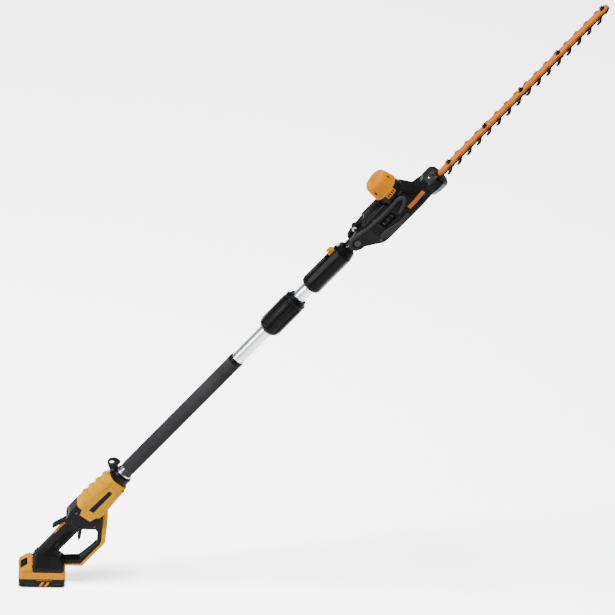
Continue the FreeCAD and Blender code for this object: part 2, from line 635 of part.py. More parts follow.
def handle_screws(places):
    screws = []
    for x, z in places:
        screws.append(join([rod_y(-24.0, 20.0, 1.8, x, z), rod_y(-26.5, -24.0, 3.2, x, z)]))
    return screws


def make_rear_housing():
    side = slab([(-163, 38), (-192, 38), (-212, 34), (-226, 24), (-222, 6), (-216, -15)] +
                world_to_pole([(104, 184), (134, 184), (141, 172), (152.5, 190), (152.5, 225)]) +
                [(-150, 38)], -26.5, 26.5)
    rounded = loft_x([(-230, 26.5, -75, 38.5, 11), (-150, 26.5, -75, 38, 11)])
    body = side.common(rounded).cut(front_region())
    grip = loft_x([(-395, 19.0, -24, 20, 14), (-330, 18.0, -22, 20, 14), (-215, 18.5, -23, 21, 14)])
    foot = loft_z([(48.3, -25, 56, 36, 7), (62, -25, 57, 36, 7), (80, -22, 46, 24, 8),
                   (92, -17, 30, 18, 7)])
    loop = slab(LOOP_BLACK, -13.0, 13.0)
    below_foot = box(-100, 100, -60, 60, -50, 48.3)
    behind_foot = box(-100, -24.8, -60, 60, 0, 88)
    grip = take(place(grip), [below_foot, behind_foot])
    shape = join([place(body), grip, foot, loop]).cut(place(front_region()))
    switch_room = loft_x([(-212, 21.5, -16, 27, 8), (-166, 21.5, -20, 33, 8)])
    grip_room = loft_x([(-380, 14.0, -17, 15, 9), (-205, 14.0, -17, 15, 9)])
    trigger_room = box(-236, -203, -8.4, 8.4, -42, -9.5)
    trigger_groove = box(-252, -236, -8.4, 8.4, -30, -18.5)
    lock_room = box(-232, -204, -7.6, 7.6, 14.5, 40)
    insert_seat = box(-277, -231, -7.0, 7.0, 18.0, 30)
    pins = [pin(TRIGGER_PIVOT, 14.0), pin(LOCK_OFF_PIVOT, 14.0)]
    screw_set = handle_screws(((-186.0, -38.0), (-181.0, 26.0)))
    screw_set += [rod_y(-15.0, 12.0, 1.8, -330.0, 0.0)]
    cut_local = [switch_room, grip_room, trigger_room, trigger_groove, lock_room, insert_seat]
    cut_local += pins + screw_set
    shape = take(shape, [place(cutter) for cutter in cut_local])
    shape = take(shape, [rail_room(), terminal_shape(), box(-40, 58, -15, 15, 47, 62)])
    shape = shape.cut(place(rod_x(-160, CLAMP_X[0] + 1, TUBE_R)))
    keep_halves("rear_housing", shape)
    keep("loop_trim", slab(LOOP_TRIM, -14.0, 14.0).cut(place(front_cover_block())).cut(
        place(side.cut(front_region()))))
    keep("trigger_pin", place(pin(TRIGGER_PIVOT, 14.0)))
    keep("lock_off_pin", place(pin(LOCK_OFF_PIVOT, 14.0)))
    keep("grip_insert", place(loft_z([(18.0, -277, -231, 7.0, 3.0), (22.0, -276, -232, 6.0, 3.0)])))
    return screw_set


def front_cover_block():
    return loft_x(COVER_STATIONS).common(front_region())


def pin(centre, half):
    return rod_y(-half, half, PIN_R, centre[0], centre[1])


def make_controls():
    tx, tz = TRIGGER_PIVOT
    lever = slab([(tx - 4.5, tz - 2), (tx + 3, tz - 4), (tx - 4, tz - 9.5), (tx - 16.5, tz - 14.5),
                  (tx - 31.5, tz - 26.5), (tx - 36, tz - 26), (tx - 37.5, tz - 23),
                  (tx - 26, tz - 12.5), (tx - 13, tz - 7)], -7.5, 7.5)
    trigger = join([lever, rod_y(-7.5, 7.5, 5.0, tx, tz)])
    keep("trigger", place(trigger.cut(rod_y(-9, 9, PIN_R + RUNNING, tx, tz))))
    lx, lz = LOCK_OFF_PIVOT
    arm = slab([(lx, lz - 3.0), (lx + 2, lz + 3.5), (lx - 10, lz + 9), (lx - 44, lz + 20),
                (lx - 52, lz + 19), (lx - 53, lz + 14), (lx - 46, lz + 12), (lx - 28, lz + 7),
                (lx - 16, lz + 4.5)], -6.5, 6.5)
    arm = join([arm, rod_y(-6.5, 6.5, 4.5, lx, lz)])
    keep("lock_off_lever", place(arm.cut(rod_y(-9, 9, PIN_R + RUNNING, lx, lz))))
    module = box(-200, -170, -9.5, 9.5, -14, 12)
    keep("switch_module", place(module))
    keep("control_board", place(box(-320, -240, -1.0, 1.0, -14, 12)))


# ------------------------------------------------------------ battery and its seat
RAIL_X = (-24.0, 48.0)


def rail_room():
    lip = box(-60, 50.0, -22.5, 22.5, 47, 52.0)
    groove = box(-60, 50.0, -26.6, 26.6, 51.6, 57.0)
    return join([lip, groove])


def terminal_shape():
    """Fixed contact carrier in the foot, with four blades that point at the battery."""
    block = box(12.0, 30.0, -14.0, 14.0, 48.6, 62.0)
    blades = [box(-6.0, 12.0, y - 0.5, y + 0.5, 51.0, 55.0) for y in (-11.0, -4.0, 4.0, 11.0)]
    return join([block] + blades)


BUTTON_CENTRE = Vector(-47.5, 0, 53.5)
BUTTON_TILT = math.degrees(math.atan2(20.0, 28.0))


def tilted(shape):
    """Stand a shape drawn about the origin on the battery's sloping rear face."""
    moved = shape.copy()
    turn = Rotation(Vector(0, 1, 0), -BUTTON_TILT)
    moved.Placement = Placement(BUTTON_CENTRE, turn).multiply(moved.Placement)
    return moved


def make_battery():
    half_l = BATTERY_HALF_L
    half_w = BATTERY_HALF_W
    top = BATTERY_TOP - 0.2
    block = loft_z([(CASE_SPLIT, -half_l, half_l, half_w, 9), (40, -half_l, half_l, half_w, 9),
                    (top, -half_l + 2, half_l - 4, half_w - 3, 8)])
    hump = slab([(-half_l + 1, 30), (-half_l + 1, 44), (-34, 63.5), (-27, 63.5), (-27, 30)],
                -half_w + 4, half_w - 4)
    hump_round = loft_x([(-half_l, half_w - 4, 20, 63.6, 8), (-26, half_w - 4, 20, 63.6, 8)])
    rails = []
    for side in (-1, 1):
        y0, y1 = sorted((side * 18.0, side * 22.0))
        rails.append(box(RAIL_X[0], RAIL_X[1], y0, y1, top - 1, 56.5))
        y0, y1 = sorted((side * 18.0, side * 26.0))
        rails.append(box(RAIL_X[0], RAIL_X[1], y0, y1, 52.4, 56.5))
    tower = box(-27, 8, -14.5, 14.5, top - 1, 57.5)
    shape = join([block, hump.common(hump_round), tower] + rails)
    room = loft_z([(CASE_SPLIT - 1, -half_l + CASE_WALL, half_l - CASE_WALL, half_w - CASE_WALL, 7),
                   (43, -half_l + CASE_WALL, half_l - CASE_WALL, half_w - CASE_WALL, 7)])
    slots = [box(-10.0, 9, y - 1.0, y + 1.0, 50.4, 55.6) for y in (-11.0, -4.0, 4.0, 11.0)]
    button_room = tilted(box(-11.0, 11.0, -15.3, 15.3, -7.0, 6.0))
    keep("battery_upper_case", take(shape, [room, button_room] + slots))
    button = tilted(loft_z([(-2.5, -10.6, 10.6, 15.0, 2.5), (0.8, -10.6, 10.6, 15.0, 2.5),
                            (2.0, -9.5, 9.5, 14.0, 2.5)]))
    keep("battery_release_button", button)
    lower = loft_z([(0.0, -half_l + 4, half_l - 4, half_w - 4, 7),
                    (4.0, -half_l + 1, half_l - 1, half_w - 1, 9),
                    (CASE_SPLIT, -half_l, half_l, half_w, 9)])
    lower_room = loft_z([(3.0, -half_l + 5, half_l - 5, half_w - 5, 6),
                         (CASE_SPLIT + 1, -half_l + CASE_WALL, half_l - CASE_WALL,
                          half_w - CASE_WALL, 7)])
    feet = [rod_z(3.0, 20.0, 1.8, x, y) for x in (-52, 52) for y in (-31, 31)]
    posts = [rod_z(2.5, CASE_SPLIT, 4.0, x, y) for x in (-52, 52) for y in (-31, 31)]
    lower = join([lower.cut(lower_room)] + [post.common(lower) for post in posts])
    lower = take(lower, feet + [rod_z(-1, 3.0, 3.2, x, y) for x in (-52, 52) for y in (-31, 31)])
    keep("battery_lower_case", lower)
    screws = [join([rod_z(0.8, 3.0, 3.2, x, y), rod_z(3.0, 20.0, 1.8, x, y)])
              for x in (-52, 52) for y in (-31, 31)]
    keep("battery_screws", Part.makeCompound(screws))
    cells = []
    for layer in range(2):
        for cell in range(5):
            cells.append(rod_y(-CELL_LENGTH / 2.0, CELL_LENGTH / 2.0, CELL_R,
                               -37.0 + 18.5 * cell, 13.0 + 18.4 * layer))
    keep("battery_cells", Part.makeCompound(cells))
    keep("terminal_block", terminal_shape())


make_pole()
make_coupling()
make_connector()
make_head_lock()
make_head_casing()
make_motor()
make_gearing()
make_blades()
make_guard()
make_clamp()
handle_fasteners = make_front_covers() + make_rear_housing()
keep("handle_screws", place(Part.makeCompound(handle_fasteners)))
make_controls()
make_battery()

os.makedirs("parts", exist_ok=True)
for name, shape in pieces.items():
    shape.exportStep("parts/" + name + ".step")
print(len(pieces), "nodes")
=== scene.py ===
import json
import math

import bmesh
import bpy
from mathutils import Matrix, Vector


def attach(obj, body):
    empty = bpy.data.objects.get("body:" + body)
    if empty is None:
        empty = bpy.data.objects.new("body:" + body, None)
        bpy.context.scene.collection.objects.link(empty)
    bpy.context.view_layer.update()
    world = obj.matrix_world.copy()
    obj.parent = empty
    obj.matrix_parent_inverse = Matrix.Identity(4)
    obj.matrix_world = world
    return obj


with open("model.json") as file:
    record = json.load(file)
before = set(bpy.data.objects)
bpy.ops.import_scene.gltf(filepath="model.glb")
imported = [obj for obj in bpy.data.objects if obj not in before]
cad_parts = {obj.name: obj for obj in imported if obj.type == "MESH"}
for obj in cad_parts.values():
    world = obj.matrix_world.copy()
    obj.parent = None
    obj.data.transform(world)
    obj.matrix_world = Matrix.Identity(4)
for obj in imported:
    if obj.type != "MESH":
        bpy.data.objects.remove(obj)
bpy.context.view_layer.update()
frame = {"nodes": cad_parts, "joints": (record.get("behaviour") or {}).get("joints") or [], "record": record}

# ------------------------------------------------------------------ pole frame
# Pieces are drawn in millimetres in the pole frame: x along the pole towards the blades, with
# x = 0 just ahead of the handle's strap eye, z square to the pole, y sideways as in the row frame.
MM = 0.001
COLLAR_X = 604.0           # where the collar's joint sits on the pole
MOTOR_X = 1035.0           # where the motor's axis crosses the pole's line

collar_joint = next(joint for joint in frame["joints"] if joint["name"] == "collar_turn")
pole_axis = Vector(collar_joint["axis"]).normalized()
side_axis = Vector((0.0, 1.0, 0.0))
lift_axis = pole_axis.cross(side_axis)
pole_origin = Vector(collar_joint["pos_m"]) - pole_axis * COLLAR_X * MM
POLE = Matrix.Identity(4)
for column, axis in enumerate((pole_axis, side_axis, lift_axis)):
    for row in range(3):
        POLE[row][column] = axis[row] * MM
for row in range(3):
    POLE[row][3] = pole_origin[row]
ROW = Matrix.Scale(MM, 4)


# ------------------------------------------------------------------ materials
METAL_BUMP = 0.06          # strength of the drawn metals' surface texture
WEAR_AND_HIGHLIGHT_SHARE = 0.30          # how much of the paler edge colour, partly wear and partly painted highlight, the sharpest edges take


def new_material(name):
    """Material with its node tree and its main shader."""
    material = bpy.data.materials.new(name)
    material.use_nodes = True
    tree = material.node_tree
    shader = tree.nodes["Principled BSDF"]
    return material, tree, shader


def socket(tree, kind, **values):
    """New node with the given input values or settings."""
    node = tree.nodes.new(kind)
    for key, value in values.items():
        if key in node.inputs:
            node.inputs[key].default_value = value
        else:
            setattr(node, key, value)
    return node


def coordinates(tree):
    """Object coordinates, which move with the piece."""
    return tree.nodes.new("ShaderNodeTexCoord").outputs["Object"]


def moulded(name, color, rough, grain=900.0, grain_depth=0.10, blotch=0.10, specular=0.5):
    """Moulded plastic: fine spark-eroded grain, slow colour drift, paler edges that are partly wear and
    partly painted highlight.
    """
    material, tree, shader = new_material(name)
    links = tree.links
    vector = coordinates(tree)
    slow = socket(tree, "ShaderNodeTexNoise", Scale=14.0, Detail=4.0, Roughness=0.6)
    links.new(vector, slow.inputs["Vector"])
    ramp = tree.nodes.new("ShaderNodeValToRGB")
    dark = [c * (1.0 - blotch) for c in color]
    light = [min(1.0, c * (1.0 + blotch)) for c in color]
    ramp.color_ramp.elements[0].position = 0.30
    ramp.color_ramp.elements[0].color = (*dark, 1.0)
    ramp.color_ramp.elements[1].position = 0.70
    ramp.color_ramp.elements[1].color = (*light, 1.0)
    links.new(slow.outputs["Fac"], ramp.inputs["Fac"])
    # Sharp edges turn paler: partly wear, partly a painted highlight along the edges.
    geometry = tree.nodes.new("ShaderNodeNewGeometry")
    edge = socket(tree, "ShaderNodeMapRange")
    edge.inputs["From Min"].default_value = 0.53
    edge.inputs["From Max"].default_value = 0.62
    edge.inputs["To Max"].default_value = WEAR_AND_HIGHLIGHT_SHARE
    links.new(geometry.outputs["Pointiness"], edge.inputs["Value"])
    wear_and_highlight = tree.nodes.new("ShaderNodeMix")
    wear_and_highlight.data_type = "RGBA"
    wear_and_highlight.inputs[7].default_value = (*[min(1.0, c * 1.3 + 0.006) for c in color], 1.0)
    links.new(edge.outputs["Result"], wear_and_highlight.inputs[0])
    links.new(ramp.outputs["Color"], wear_and_highlight.inputs[6])
    links.new(wear_and_highlight.outputs[2], shader.inputs["Base Color"])
    fine = socket(tree, "ShaderNodeTexNoise", Scale=grain, Detail=3.0, Roughness=0.55)
    links.new(vector, fine.inputs["Vector"])
    bump = socket(tree, "ShaderNodeBump", Strength=grain_depth, Distance=0.0004)
    links.new(fine.outputs["Fac"], bump.inputs["Height"])
    links.new(bump.outputs["Normal"], shader.inputs["Normal"])
    gloss = socket(tree, "ShaderNodeMapRange")
    gloss.inputs["To Min"].default_value = rough - 0.06
    gloss.inputs["To Max"].default_value = rough + 0.08
    links.new(slow.outputs["Fac"], gloss.inputs["Value"])
    links.new(gloss.outputs["Result"], shader.inputs["Roughness"])
    shader.inputs["Specular IOR Level"].default_value = specular
    return material


def metal(name, color, rough, line_scale=400.0, drift=0.08):
    """Drawn or ground metal: a fine surface texture and an uneven polish."""
    material, tree, shader = new_material(name)
    links = tree.links
    shader.inputs["Metallic"].default_value = 1.0
    vector = coordinates(tree)
    lines = socket(tree, "ShaderNodeTexNoise", Scale=line_scale, Detail=5.0, Roughness=0.65)
    links.new(vector, lines.inputs["Vector"])
    slow = socket(tree, "ShaderNodeTexNoise", Scale=9.0, Detail=3.0)
    links.new(vector, slow.inputs["Vector"])
    ramp = tree.nodes.new("ShaderNodeValToRGB")
    ramp.color_ramp.elements[0].position = 0.25
    ramp.color_ramp.elements[0].color = (*[c * (1.0 - drift) for c in color], 1.0)
    ramp.color_ramp.elements[1].position = 0.75
    ramp.color_ramp.elements[1].color = (*[min(1.0, c * (1.0 + drift)) for c in color], 1.0)
    links.new(slow.outputs["Fac"], ramp.inputs["Fac"])
    links.new(ramp.outputs["Color"], shader.inputs["Base Color"])
    gloss = socket(tree, "ShaderNodeMapRange")
    gloss.inputs["To Min"].default_value = rough - 0.07
    gloss.inputs["To Max"].default_value = rough + 0.10
    links.new(lines.outputs["Fac"], gloss.inputs["Value"])
    links.new(gloss.outputs["Result"], shader.inputs["Roughness"])
    bump = socket(tree, "ShaderNodeBump", Strength=METAL_BUMP, Distance=0.0002)
    links.new(lines.outputs["Fac"], bump.inputs["Height"])
    links.new(bump.outputs["Normal"], shader.inputs["Normal"])
    return material


MATERIALS = {
    "yellow_shell": moulded("yellow_shell", (0.21, 0.095, 0.0), 0.45, blotch=0.04, specular=0.01),
    "black_shell": moulded("black_shell", (0.0014, 0.0014, 0.0016), 0.30, grain=1100.0,
                           grain_depth=0.08, blotch=0.2, specular=0.03),
    "black_rubber": moulded("black_rubber", (0.0034, 0.0034, 0.0037), 0.5, grain=700.0,
                            grain_depth=0.2, blotch=0.2, specular=0.02),
    "foam": moulded("foam", (0.011, 0.011, 0.0115), 0.8, grain=1500.0, grain_depth=0.4,
                    blotch=0.25, specular=0.03),
    "orange_cap": moulded("orange_cap", (0.18, 0.062, 0.0), 0.42, blotch=0.05, specular=0.02),
    "yellow_battery": moulded("yellow_battery", (0.20, 0.080, 0.0), 0.42, blotch=0.05,
                              specular=0.01),
    "bar_orange": moulded("bar_orange", (0.16, 0.040, 0.0), 0.38, grain=500.0, blotch=0.08,
                          specular=0.06),
    "black_steel": moulded("black_steel", (0.0015, 0.0015, 0.0018), 0.30, grain=600.0,
                           specular=0.15),
    "core_steel": moulded("core_steel", (0.03, 0.03, 0.033), 0.5, specular=0.1),
    "board_green": moulded("board_green", (0.008, 0.05, 0.015), 0.4, specular=0.1),
    "cell_wrap": moulded("cell_wrap", (0.01, 0.045, 0.13), 0.35, specular=0.1),
    "lead_black": moulded("lead_black", (0.0006, 0.0006, 0.0006), 0.6, specular=0.02),
    "tube_silver": metal("tube_silver", (0.42, 0.43, 0.45), 0.30, line_scale=160.0),
    "blade_steel": metal("blade_steel", (0.006, 0.006, 0.007), 0.36, line_scale=250.0, drift=0.2),
    "bright_steel": metal("bright_steel", (0.26, 0.26, 0.27), 0.28, line_scale=200.0),
    "brass_parts": metal("brass_parts", (0.30, 0.19, 0.07), 0.30),
}


DEFAULT_ROUNDING = 0.3
CAD_BEVEL_ANGLE = 38.0     # degrees; flatter edges of a CAD node stay as they are
EDGE_ROUNDING = {
    "head_shell_near": 1.4, "head_shell_far": 1.4, "front_cover_near": 1.6, "front_cover_far": 1.6,
    "rear_housing_near": 1.5, "rear_housing_far": 1.5, "loop_trim": 1.2, "motor_cap": 0.8,
    "motor_ring": 0.8, "blade_guard": 0.8, "head_lock_knob": 2.2, "coupling_collar": 0.5,
    "battery_upper_case": 1.6, "battery_lower_case": 1.2, "battery_release_button": 0.8,
    "trigger": 1.2, "lock_off_lever": 1.2, "strap_clamp": 0.8, "grip_insert": 0.8,
    "upper_blade": 0.35, "lower_blade": 0.35, "blade_bar": 0.6, "blade_bolts": 0.7,
    "crank_gear": 0.08, "pinion": 0.08, "crank_shaft": 0.1, "cooling_fan": 0.1,
}


def finish_cad_nodes():
    """Each carried-over CAD node gets its slot's material and small rounded edges."""
    slots = {entry["node"]: entry["material_slot"] for entry in frame["record"]["subparts"]}
    for name, node in frame["nodes"].items():
        node.data.materials.clear()
        node.data.materials.append(MATERIALS[slots[name]])
        bevelled(node, EDGE_ROUNDING.get(name, DEFAULT_ROUNDING), CAD_BEVEL_ANGLE)


# ------------------------------------------------------------------ mesh helpers
LATHE_STEPS = 96           # points round a turned ring


def piece(name, verts, faces, slot_name, body, space=POLE, smooth=32.0):
    """A mesh drawn in millimetres in the given space, riding on a body."""
    mesh = bpy.data.meshes.new(name)
    mesh.from_pydata([space @ Vector(v) for v in verts], [], faces)
    work = bmesh.new()
    work.from_mesh(mesh)
    bmesh.ops.remove_doubles(work, verts=work.verts, dist=1e-6)
    bmesh.ops.recalc_face_normals(work, faces=work.faces)
    work.to_mesh(mesh)
    work.free()
    mesh.polygons.foreach_set("use_smooth", [True] * len(mesh.polygons))
    mesh.set_sharp_from_angle(angle=math.radians(smooth))
    mesh.materials.append(MATERIALS[slot_name])
    made = bpy.data.objects.new(name, mesh)
    bpy.context.collection.objects.link(made)
    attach(made, body)
    return made


def skin(rings, caps=True):
    """Vertices and faces of a surface through closed rings of equal length.

    Without caps the last ring is joined back to the first, which makes a hollow band.
    """
    count = len(rings[0])
    rings = rings if caps else rings + [rings[0]]
    verts = [point for ring in rings for point in ring]
    faces = []
    for row in range(len(rings) - 1):
        for step in range(count):
            after = (step + 1) % count
            faces.append((row * count + step, row * count + after,
                          (row + 1) * count + after, (row + 1) * count + step))
    if caps:
        faces.append(tuple(range(count)))
        last = (len(rings) - 1) * count
        faces.append(tuple(range(last, last + count)))
    return verts, faces


def bevelled(made, width, angle=30.0):
    """Rounds the sharp edges of a piece or of a carried-over node, width in millimetres."""
    bevel = made.modifiers.new("rounded_edges", "BEVEL")
    bevel.width = width * MM
    bevel.segments = 2
    bevel.limit_method = "ANGLE"
    bevel.angle_limit = math.radians(angle)
    bevel.harden_normals = True
    bevel.use_clamp_overlap = True
    return made


def around_pole(radius, x, count):
    """Ring about the pole; radius is a number or a function of the angle from +z towards -y."""
    ring = []
    for step in range(count):
        angle = 2.0 * math.pi * step / count
        r = radius(angle) if callable(radius) else radius
        ring.append((x, -r * math.sin(angle), r * math.cos(angle)))
    return ring


def around_motor(radius, z):
    """Ring about the motor axis, from the blades' side towards -y."""
    ring = []
    for step in range(LATHE_STEPS):
        angle = 2.0 * math.pi * step / LATHE_STEPS
        ring.append((MOTOR_X + radius * math.cos(angle), -radius * math.sin(angle), z))
    return ring


def rounded_rectangle(half_width, half_length, corner):
    """Points of a rounded rectangle about zero, each across and along."""
    steps = 5
    across = half_width - corner
    along = half_length - corner
    points = []
    centres = ((across, along, 90.0), (across, -along, 0.0), (-across, -along, -90.0),
               (-across, along, -180.0))
    for middle_across, middle_along, start in centres:
        for step in range(steps + 1):
            angle = math.radians(start - 90.0 * step / steps)
            points.append((middle_across + corner * math.cos(angle),
                           middle_along + corner * math.sin(angle)))
    return points


def boxes(name, sizes, slot_name, body, round_by=0.3, turn=0.0, space=POLE):
    """Several rounded boxes in one mesh, each x, x, y, y, z, z, turned about the pole."""
    verts = []
    faces = []
    sides = ((0, 1, 3, 2), (4, 6, 7, 5), (0, 4, 5, 1), (2, 3, 7, 6), (0, 2, 6, 4), (1, 5, 7, 3))
    for x0, x1, y0, y1, z0, z1 in sizes:
        base = len(verts)
        verts += [turned((a, b, c), turn) for a in (x0, x1) for b in (y0, y1) for c in (z0, z1)]
        faces += [tuple(base + corner for corner in side) for side in sides]
    return bevelled(piece(name, verts, faces, slot_name, body, space), round_by)


def turned(point, degrees):
    """A point carried round the pole, from +z towards -y."""
    x, y, z = point
    angle = math.radians(degrees)
    return (x, y * math.cos(angle) - z * math.sin(angle), y * math.sin(angle) + z * math.cos(angle))


def plate(name, outline, y0, y1, slot_name, body, round_by=0.4, space=POLE):
    """Outline in x and z with its thickness along y."""
    low, high = sorted((y0, y1))
    rings = [[(x, y, z) for x, z in outline] for y in (low, high)]
    verts, faces = skin(rings)
    return bevelled(piece(name, verts, faces, slot_name, body, space), round_by)


def rail(name, path, radius, slot_name, body, count=10, space=POLE, flat=1.0):
    """Bead along a path of x, y, z points, narrower at its ends. Flat is its depth over width."""
    rings = []
    last = len(path) - 1
    for index, point in enumerate(path):
        here = Vector(point)
        run = (Vector(path[min(index + 1, last)]) - Vector(path[max(index - 1, 0)])).normalized()
        across = run.cross(Vector((0.0, 1.0, 0.0)))
        if across.length < 0.1:
            across = run.cross(Vector((0.0, 0.0, 1.0)))
        across.normalize()
        other = run.cross(across)
        r = radius * (0.55 if index in (0, last) else 1.0)
        ring = []
        for step in range(count):
            angle = 2.0 * math.pi * step / count
            ring.append(tuple(here + across * r * math.cos(angle) + other * r * flat * math.sin(angle)))
        rings.append(ring)
    verts, faces = skin(rings)
    return piece(name, verts, faces, slot_name, body, space, smooth=50.0)


def stud(name, centre, reach, radius, slot_name, body, axis):
    """Turned button: a short collar with a rounded crown, standing along an axis."""
    start = Vector(centre)
    run = Vector(axis).normalized()
    across = run.orthogonal().normalized()
    other = run.cross(across)
    profile = ((0.0, 1.0), (0.6, 1.0), (0.85, 0.92), (1.0, 0.74), (0.9, 0.45), (0.9, 0.1))
    rings = []
    for height, width in profile:
        ring = []
        for step in range(28):
            angle = 2.0 * math.pi * step / 28
            spot = start + run * reach * height
            spot += (across * math.cos(angle) + other * math.sin(angle)) * radius * width
            ring.append(tuple(spot))
        rings.append(ring)
    verts, faces = skin(rings)
    return piece(name, verts, faces, slot_name, body, smooth=40.0)


def lathe_pole(name, profile, slot_name, body, count=LATHE_STEPS):
    """Hollow band about the pole from x and radius points; a radius may be a function."""
    rings = [around_pole(radius, x, count) for x, radius in profile]
    verts, faces = skin(rings, caps=False)
    return piece(name, verts, faces, slot_name, body)


def lathe_motor(name, profile, slot_name):
    """Hollow band on the head, about the motor axis, from radius and z points."""
    rings = [around_motor(radius, z) for radius, z in profile]
    verts, faces = skin(rings, caps=False)
    return piece(name, verts, faces, slot_name, "head")


def between(table, x):
    """Straight-line reading of a table of (x, value) pairs."""
    for (x0, v0), (x1, v1) in zip(table, table[1:]):
        if x <= x1:
            share = max(0.0, (x - x0) / (x1 - x0))
            return v0 + (v1 - v0) * share
    return table[-1][1]


SIDES = ((-1.0, "near"), (1.0, "far"))


# ------------------------------------------------------------------ pole pieces
SLEEVE_R = 19.0
SLEEVE_RIBS = 60
RIB_HEIGHT = 0.42
COLLAR_SIDES = 8


def dress_pole():
    """Trim on the tubes, the sleeve and the ferrule."""
    def rib(angle):
        return SLEEVE_R + RIB_HEIGHT * (0.5 + 0.5 * math.cos(angle * SLEEVE_RIBS)) ** 2

    lathe_pole("sleeve_ribs", [(0.0, 18.4), (0.0, 18.9), (1.5, rib), (427.0, rib), (429.0, 18.9),
                               (429.0, 18.4)], "foam", "root", count=480)
    lathe_pole("sleeve_end_band", [(418.0, 18.5), (418.5, 19.8), (421.0, 20.0), (428.0, 19.9),
                                   (429.5, 19.2), (429.5, 18.5)], "black_shell", "root")
    lathe_pole("tube_stop_ring", [(704.5, 16.6), (704.5, 19.5), (705.9, 21.5), (705.9, 16.6)],
               "black_shell", "root")


def dress_collar():
    """Grips and beads of the coupling collar."""
    for panel in range(COLLAR_SIDES):
        turn = 360.0 / COLLAR_SIDES * panel
        section = ((-8.4, 27.0), (-7.9, 28.9), (-6.6, 29.5), (6.6, 29.5), (7.9, 28.9), (8.4, 27.0))
        stations = ((557.5, 0.90, -1.2), (561.0, 1.0, 0.0), (640.0, 1.0, 0.0), (644.5, 0.9, -1.2))
        rings = []
        for x, width, drop in stations:
            rings.append([turned((x, y * width, z + (drop if z > 28 else 0.0)), turn)
                          for y, z in section])
        verts, faces = skin(rings)
        bevelled(piece("collar_panel_%d" % panel, verts, faces, "black_shell", "collar"), 0.4)
        if panel % 2:
            grooves = [(566.0 + 4.6 * step, 568.2 + 4.6 * step, -5.6, 5.6, 29.2, 30.0)
                       for step in range(16)]
            boxes("collar_ribs_%d" % panel, grooves, "black_shell", "collar", 0.35, turn)
        else:
            boxes("collar_bar_%d" % panel, [(572.0, 632.0, -1.6, 1.6, 29.2, 30.0)],
                  "black_shell", "collar", 0.4, turn)
    lathe_pole("collar_front_ring", [(650.5, 25.0), (650.5, 28.6), (651.5, 29.4), (654.5, 29.4),
                                     (655.5, 28.4), (655.5, 25.0)], "black_shell", "collar")
    lathe_pole("collar_rear_bead", [(549.5, 24.0), (550.5, 26.2), (552.5, 27.6), (554.0, 28.4),
                                    (555.5, 28.6), (556.5, 28.2), (556.5, 24.0)], "black_shell",
               "collar")


PLUG_X = 841.0
PLUG_R = 5.55
KNURLS = 24


def dress_plug():
    """Knurled rim and dished top of the round plug behind the pivot."""
    def knurl(angle):
        return PLUG_R + 0.28 * math.cos(angle * KNURLS)

    rings = []
    for r, z in ((knurl, 23.6), (knurl, 25.2), (4.9, 26.2), (2.6, 26.5), (2.2, 26.0)):
        ring = []
        for step in range(144):
            angle = 2.0 * math.pi * step / 144
            radius = r(angle) if callable(r) else r
            ring.append((PLUG_X + radius * math.cos(angle), radius * math.sin(angle), z))
        rings.append(ring)
    verts, faces = skin(rings)
    piece("plug_knurl", verts, faces, "bright_steel", "root")


def dress_connector():
    """Trim on the two halves of the head connector and its lock knob."""
    lathe_pole("connector_rear_band", [(713.2, 24.5), (713.6, 26.9), (715.0, 27.5), (719.0, 27.5),
                                       (720.5, 26.9), (720.5, 24.5)], "black_shell", "root")
    lathe_pole("connector_front_band", [(827.0, 25.5), (827.4, 27.3), (829.6, 27.4), (830.6, 26.6),
                                        (830.6, 25.5)], "black_shell", "root")
    for side, word in SIDES:
        turn = -side * 45.0
        outline = [(724.0, 5.4), (768.0, 5.6), (782.0, 4.0), (796.0, 4.0), (806.0, 5.4), (821.0, 5.4)]
        low = [turned((x, -w, 26.0), turn) for x, w in outline]
        low += [turned((x, w, 26.0), turn) for x, w in reversed(outline)]
        high = [turned((x, -w, 26.9), turn) for x, w in outline]
        high += [turned((x, w, 26.9), turn) for x, w in reversed(outline)]
        verts, faces = skin([low, high])
        bevelled(piece("connector_strip_" + word, verts, faces, "black_shell", "root"), 0.35)
        rail("connector_line_" + word, [turned((x, 0.0, 27.0), -side * 106.0)
                                        for x in (728.0, 760.0, 795.0, 822.0)], 0.55,
             "black_shell", "root")
        rail("tongue_rib_" + word, [(848.5, side * 11.7, 8.5), (853.0, side * 12.0, 8.6),
                                    (860.0, side * 12.0, 8.2), (864.0, side * 12.0, 7.0)], 0.5,
             "bright_steel", "root")
    stud("lock_knob_crown", (812.5, 0.0, 34.2), 2.6, 4.6, "orange_cap", "head_lock",
         axis=(0.0, 0.0, 1.0))
    boxes("lock_knob_ridges", [(807.6 + 2.6 * step, 808.8 + 2.6 * step, -6.3, 6.3, 28.2, 30.6)
                               for step in range(6)], "orange_cap", "head_lock", 0.3)


# ------------------------------------------------------------------ head pieces
# Half width of the head casing against x.
HEAD_SIDE = ((883.0, 22.0), (910.0, 27.0), (924.0, 31.0), (932.0, 33.0), (1064.0, 33.0),
             (1080.0, 29.5), (1116.0, 25.5))


def along_head(side, points):
    """Points in x and z laid on the side face of the head."""
    return [(x, side * between(HEAD_SIDE, x), z) for x, z in points]


